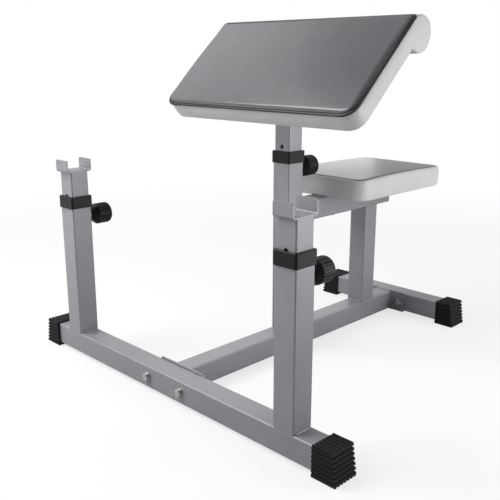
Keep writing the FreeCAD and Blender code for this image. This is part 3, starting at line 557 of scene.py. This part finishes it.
def staple_row(name, places, level, matrix, body):
    """One bent staple, copied to each place with a small seeded shift and turn, and joined into one piece."""
    bpy.ops.object.select_all(action="DESELECT")
    bpy.ops.mesh.primitive_cube_add(size=1)
    staple = bpy.context.active_object
    staple.name = name
    for vertex in staple.data.vertices:
        vertex.co = (vertex.co.x * staple_crown, vertex.co.y * staple_width, vertex.co.z * staple_wire)
    bpy.context.tool_settings.mesh_select_mode = (False, False, True)
    bpy.ops.object.mode_set(mode="EDIT")
    for x in (-staple_crown / 2 + staple_wire, staple_crown / 2 - staple_wire):
        bpy.ops.mesh.select_all(action="SELECT")
        bpy.ops.mesh.bisect(plane_co=(x, 0, 0), plane_no=(1, 0, 0))
    bpy.ops.mesh.select_all(action="DESELECT")
    bpy.ops.object.mode_set(mode="OBJECT")
    for face in staple.data.polygons:
        at_end = abs(face.center.x) > staple_crown / 2 - staple_wire
        face.select = at_end and face.normal.z > facing_up
    bpy.ops.object.mode_set(mode="EDIT")
    bpy.ops.mesh.extrude_region_move(TRANSFORM_OT_translate={"value": (0, 0, staple_leg)})
    bpy.ops.object.mode_set(mode="OBJECT")
    rounding = staple.modifiers.new("rounding", "BEVEL")
    rounding.width = staple_wire / 4
    rounding.segments = 1
    bpy.ops.object.modifier_apply(modifier="rounding")
    shape = staple.data.copy()
    for number, (x, y, turn) in enumerate(places):
        x += shots.uniform(-staple_stray, staple_stray)
        y += shots.uniform(-staple_stray, staple_stray)
        turn += shots.uniform(-staple_skew, staple_skew)
        at = Matrix.Translation((x, y, level)) @ Matrix.Rotation(turn, 4, "Z")
        if number == 0:
            staple.data.transform(at)
            continue
        mesh = shape.copy()
        mesh.transform(at)
        other = bpy.data.objects.new(name + "_shot", mesh)
        bpy.context.scene.collection.objects.link(other)
        other.select_set(True)
    bpy.context.view_layer.objects.active = staple
    bpy.ops.object.join()
    place_mesh(staple, matrix)
    staple.data.materials.append(zinc)
    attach(staple, body)


def staple_places(half, y0, y1, gap_half, gap_y):
    """Places along the four sides of a turned edge, clear of its corners and its gap."""
    places = []
    width = 2 * half - 4 * staple_inset
    length = y1 - y0 - 4 * staple_inset
    across = round(width / staple_pitch)
    along = round(length / staple_pitch)
    for y in (y0 + staple_inset, y1 - staple_inset):
        for step in range(across + 1):
            x = width * (step / across - 0.5)
            if abs(x) > gap_half + staple_crown or abs(y - gap_y) > wrap_width:
                places.append((x, y, 0.0))
    for x in (-half + staple_inset, half - staple_inset):
        for step in range(along + 1):
            places.append((x, y0 + 2 * staple_inset + length * step / along, math.pi / 2))
    return places


seat_wrap_inset = 0.004
seat_wrap_corner = seat_corner - seat_wrap_inset
seat_beam_gap = 0.028
turned_edge(seat_cover, seat_half - seat_wrap_inset, seat_wrap_inset, seat_length - seat_wrap_inset,
            seat_wrap_corner, seat_wrap_corner, wrap_sunk, seat_beam_gap, seat_wrap_inset, seat_place)
staple_row("seat_staples", staple_places(seat_half, 0, seat_length, seat_beam_gap, 0),
           -wrap_sheet - staple_wire / 4, seat_place, "frame")


# Seat top panel: dark grey vinyl over the crowned foam, sewn into the pale boxing along a sunk seam.
# Its edge rolls down into the seam all round, and its sheen lightens it where it is seen at a low angle.
dark_vinyl = vinyl_material("dark_grey_upholstery_vinyl", "#4e4e52", "#59595e", rough_low=0.22,
                            rough_high=0.3)
panel_cell = 0.005
panel_sheet = 0.0016
lump_width = 0.055
lump_height = 0.0002


def crowned_panel(name, half, y0, y1, low_radius, high_radius, crown, roll_width, roll_depth):
    """A sheet with rounded corners whose middle follows a crown and whose edge rolls down into a seam."""
    half_y = (y1 - y0) / 2
    bpy.ops.object.select_all(action="DESELECT")
    bpy.ops.mesh.primitive_grid_add(x_subdivisions=round(2 * half / panel_cell),
                                    y_subdivisions=round(2 * half_y / panel_cell), size=2)
    panel = bpy.context.active_object
    panel.name = name
    for vertex in panel.data.vertices:
        radius = low_radius if vertex.co.y < 0 else high_radius
        x, y = rounded_corner(vertex.co.x * half, vertex.co.y * half_y, half, half_y, radius)
        y += (y0 + y1) / 2
        inside = max(0.0, outline_depth(x, y, half, y0, y1, low_radius, high_radius))
        roll = max(0.0, 1 - inside / roll_width)
        soft = noise.noise(Vector((x, y, 0)) / lump_width) * lump_height * (1 - roll)
        vertex.co = (x, y, crown(x, y) - roll_depth * (1 - math.sqrt(1 - roll * roll)) + soft)
    sheet = panel.modifiers.new("sheet", "SOLIDIFY")
    sheet.thickness = panel_sheet
    sheet.offset = -1.0
    bpy.ops.object.modifier_apply(modifier="sheet")
    return panel


seat_panel_sunk = 0.0014
seat_panel_crown = 0.003
seat_roll_width = 0.010
seat_roll_depth = 0.0014


def seat_crown(x, y):
    """Half of the crown runs straight across and half falls off to the sides."""
    across = seat_panel_crown + seat_panel_crown * (1 - (x / seat_half) ** 2)
    return seat_top + seat_plump - seat_panel_sunk + across * (1 - (2 * y / seat_length - 1) ** 2)


seat_panel = crowned_panel("seat_top_cover", seat_half - seat_seam_inset, seat_seam_inset,
                           seat_length - seat_seam_inset, seat_seam_corner, seat_seam_corner, seat_crown,
                           seat_roll_width, seat_roll_depth)
finish_cushion(seat_panel, seat_place, dark_vinyl, "frame", "dark_vinyl", seat_fill, "seat_top_panel")


# Arm pad board: the same plywood, sloped as the pad is, with the steel mounting plate bolted to its back.
# The plate is welded to the mitred end of the pad's post, with a run along each side of the mitre.
pad_tilt = math.radians(43.2)
pad_lower_edge = (0, -0.1790, 0.5956)
pad_place = Matrix.Translation(pad_lower_edge) @ Matrix.Rotation(pad_tilt, 4, "X")
finish_pieces(plywood_material("poplar_plywood_pad", pad_tilt, 0.0), ("pad_board",))
pad_thick = 0.045
plate_thick = 0.004
plate_back = -pad_thick - plate_thick - fillet_sunk
mitre = []
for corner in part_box("pad_post"):
    reach = corner.y - pad_place.translation.y + plate_back * math.sin(pad_tilt)
    mitre.append(reach / math.cos(pad_tilt))
mitre_low, mitre_high = mitre
for number, side in ((1, -1), (2, 1)):
    x = side * (post_half + fillet_sunk)
    weld_run("pad_plate_weld_%d" % number, pad_place @ Vector((x, mitre_low, plate_back)),
             pad_place @ Vector((x, mitre_high, plate_back)), fillet, "arm_pad_carriage")
for number, y in ((3, mitre_low), (4, mitre_high)):
    weld_run("pad_plate_weld_%d" % number, pad_place @ Vector((-post_weld_half, y, plate_back)),
             pad_place @ Vector((post_weld_half, y, plate_back)), fillet, "arm_pad_carriage")


# Arm pad cushion: firm foam with a thick armpit roll along its top, wrapped in pale grey vinyl that is drawn
# round the edges and stapled to the back of the board.
pad_half = 0.282
pad_corner = 0.032
pad_top_corner = 0.008
pad_seam = 0.279
pad_seam_inset = 0.002
pad_front_band = 0.006
pad_foot_top = 0.225
pad_board_depth = 0.0135
pad_swell = 0.0045
pad_fill = 0.95
pad_wrap_inset = 0.005
pad_wrap_top = 0.226
pad_wrap_corner = 0.022
pad_wrap_top_corner = 0.009
pad_plate_gap = 0.064


def pad_held(co):
    """The sewn front, the back below the roll and the inside round the board don't swell."""
    inside = outline_depth(co.x, co.y, pad_half, 0, pad_seam, pad_corner, pad_top_corner)
    front = co.z > -pad_front_band and inside > pad_seam_inset
    back = co.z < -pad_thick + cushion_foot and co.y < pad_foot_top
    lip = co.z < -pad_thick + pad_board_depth and inside > cushion_lip and co.y < pad_wrap_top
    return front or back or lip


pad_cover = swollen("arm_pad_cover", "pad_cushion", pad_place, pad_held, pad_swell)
finish_cushion(pad_cover, pad_place, pale_vinyl, "arm_pad_carriage", "pale_vinyl", pad_fill, "pad_cushion")
turned_edge(pad_cover, pad_half - pad_wrap_inset, pad_wrap_inset, pad_wrap_top, pad_wrap_corner,
            pad_wrap_top_corner, wrap_sunk - pad_thick, pad_plate_gap, pad_wrap_top, pad_place)
staple_row("arm_pad_staples", staple_places(pad_half, 0, pad_wrap_top, pad_plate_gap, pad_wrap_top),
           -pad_thick - wrap_sheet - staple_wire / 4, pad_place, "arm_pad_carriage")


# Arm pad front panel: dark grey vinyl over the crowned face, sewn to the pale wrap with the piping between.
# It is stretched over the foam, so it stands a little proud of the piping and turns down tightly at its edge.
pad_plump = 0.0045
pad_panel_crown = 0.004
pad_panel_half = 0.2788
pad_panel_low = 0.0032
pad_panel_high = 0.2768
pad_panel_corner = 0.0288
pad_panel_top_corner = 0.0058
pad_roll_width = 0.0042
pad_roll_depth = 0.0058


def pad_crown(x, y):
    """Half of the crown runs straight across and half falls off to the sides."""
    across = pad_panel_crown + pad_panel_crown * (1 - (x / pad_half) ** 2)
    return pad_plump + across * (1 - (2 * y / pad_seam - 1) ** 2)


pad_panel = crowned_panel("arm_pad_front_cover", pad_panel_half, pad_panel_low, pad_panel_high,
                          pad_panel_corner, pad_panel_top_corner, pad_crown, pad_roll_width, pad_roll_depth)
finish_cushion(pad_panel, pad_place, dark_vinyl, "arm_pad_carriage", "dark_vinyl", pad_fill,
               "pad_front_panel")


# Arm pad piping: a cord wrapped in black vinyl, 5.6 mm thick and sewn into the seam all round the panel.
# It is one closed length that follows the panel's wide lower corners and tight upper ones.
piping_vinyl = vinyl_material("black_piping_vinyl", "#060607", "#0b0b0d", rough_low=0.34, rough_high=0.44)
piping_radius = 0.0028
piping_half = 0.281
piping_low = 0.001
piping_high = pad_seam
piping_level = -0.0015
piping_corner = 0.031
piping_top_corner = 0.008
piping_bend_steps = 16
touching = 1e-5
bpy.ops.object.select_all(action="DESELECT")
bpy.ops.mesh.primitive_plane_add(size=2)
piping = bpy.context.active_object
piping.name = "arm_pad_piping"
for vertex in piping.data.vertices:
    vertex.co.x *= piping_half
    vertex.co.y = piping_low if vertex.co.y < 0 else piping_high
    vertex.co.z = piping_level
bpy.context.tool_settings.mesh_select_mode = (True, False, False)
for radius, y in ((piping_corner, piping_low), (piping_top_corner, piping_high)):
    bpy.ops.object.mode_set(mode="EDIT")
    bpy.ops.mesh.select_all(action="DESELECT")
    bpy.ops.object.mode_set(mode="OBJECT")
    for vertex in piping.data.vertices:
        at_side = abs(abs(vertex.co.x) - piping_half) < touching
        vertex.select = at_side and abs(vertex.co.y - y) < touching
    bpy.ops.object.mode_set(mode="EDIT")
    bpy.ops.mesh.bevel(affect="VERTICES", offset=radius, offset_type="OFFSET", segments=piping_bend_steps)
bpy.ops.mesh.select_all(action="SELECT")
bpy.ops.mesh.delete(type="ONLY_FACE")
bpy.ops.object.mode_set(mode="OBJECT")
bpy.ops.object.convert(target="CURVE")
piping.data.bevel_depth = piping_radius
piping.data.bevel_resolution = 4
bpy.ops.object.convert(target="MESH")
bpy.ops.object.shade_smooth()
place_mesh(piping, pad_place)
piping.data.materials.clear()
piping.data.materials.append(piping_vinyl)
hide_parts("pad_piping")
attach(piping, "arm_pad_carriage")


# Studio: a pale floor that takes a soft shadow and runs out into a white background, in a surround that is
# brighter on the far left. The main lamp stands high in front, with weaker ones on the left, on the right,
# at the far left and low in front. The camera stands where the photographer's did.
floor_paint, place = new_material("white_studio_floor")
floor_size = 30
shadow_reach = 1.0
floor_fade = 2.4
ray = add_node(floor_paint, "LightPath", {})
bounced = add_node(floor_paint, "Math", {0: ray.outputs["Is Diffuse Ray"], 1: ray.outputs["Is Glossy Ray"]},
                   operation="MAXIMUM")
floor_tone = add_node(floor_paint, "Mix", {0: bounced.outputs[0], 6: linear("#e4e4e4"), 7: linear("#bcbcbc")},
                      data_type="RGBA")
matt = add_node(floor_paint, "BsdfDiffuse", {"Color": floor_tone.outputs[2]})
glow = add_node(floor_paint, "Emission", {"Color": linear("#ffffff"), "Strength": 1.0})
away = add_node(floor_paint, "VectorMath", {0: place}, operation="LENGTH")
white_share = add_node(floor_paint, "MapRange", {"Value": away.outputs["Value"], "From Min": shadow_reach,
                                                 "From Max": floor_fade, "To Min": 0.72, "To Max": 1.0})
seen = add_node(floor_paint, "Math", {0: ray.outputs["Is Camera Ray"], 1: white_share.outputs["Result"]},
                operation="MULTIPLY")
lit = add_node(floor_paint, "MixShader", {0: seen.outputs[0], 1: matt.outputs[0], 2: glow.outputs[0]})
add_node(floor_paint, "OutputMaterial", {"Surface": lit.outputs[0]})
bpy.ops.object.select_all(action="DESELECT")
bpy.ops.mesh.primitive_plane_add(size=floor_size)
floor = bpy.context.active_object
floor.name = "studio_floor"
floor.data.materials.append(floor_paint)

world = bpy.data.worlds.new("studio_surround")
bpy.context.scene.world = world
world.use_nodes = True
world.node_tree.nodes.clear()
bright_side = (-0.80, 0.48, 0.36)
ray = add_node(world, "LightPath", {})
heading = add_node(world, "TexCoord", {})
facing = add_node(world, "VectorMath", {0: heading.outputs["Generated"], 1: bright_side},
                  operation="DOT_PRODUCT")
room = add_node(world, "MapRange", {"Value": facing.outputs["Value"], "From Min": -0.7, "From Max": 0.9,
                                    "To Min": 0.2, "To Max": 0.7})
strength = add_node(world, "Mix", {0: ray.outputs["Is Camera Ray"], 2: room.outputs["Result"], 3: 1.0})
surround = add_node(world, "Background", {"Color": linear("#ffffff"), "Strength": strength.outputs[0]})
add_node(world, "OutputWorld", {"Surface": surround.outputs[0]})

lamp_target = Vector((0, 0, 0.35))
for name, at, size, power in (("front_lamp", (-0.9, -1.3, 1.9), 1.2, 45.0),
                              ("left_lamp", (-1.95, 0.05, 2.1), 1.3, 5.0),
                              ("right_lamp", (1.35, 0.65, 0.5), 1.0, 14.0),
                              ("far_lamp", (-2.02, 1.99, 0.75), 1.4, 6.0),
                              ("low_lamp", (-0.95, -1.2, 0.35), 0.6, 3.0)):
    lamp = bpy.data.lights.new(name, "AREA")
    lamp.size = size
    lamp.energy = power
    holder = bpy.data.objects.new(name, lamp)
    bpy.context.scene.collection.objects.link(holder)
    holder.location = at
    holder.rotation_euler = (lamp_target - Vector(at)).to_track_quat("-Z", "Y").to_euler()

camera_place = (1.1155, -1.2850, 0.7044)
camera_drop = math.radians(15.1)
camera_turn = math.radians(45.0)
film_width = 36.0
focal_length = 51.55
lens = bpy.data.cameras.new("studio_camera")
lens.sensor_width = film_width
lens.lens = focal_length
camera = bpy.data.objects.new("studio_camera", lens)
bpy.context.scene.collection.objects.link(camera)
camera.location = camera_place
camera.rotation_euler = (math.pi / 2 - camera_drop, 0, camera_turn)
bpy.context.scene.camera = camera
bpy.context.scene.view_settings.view_transform = "Standard"
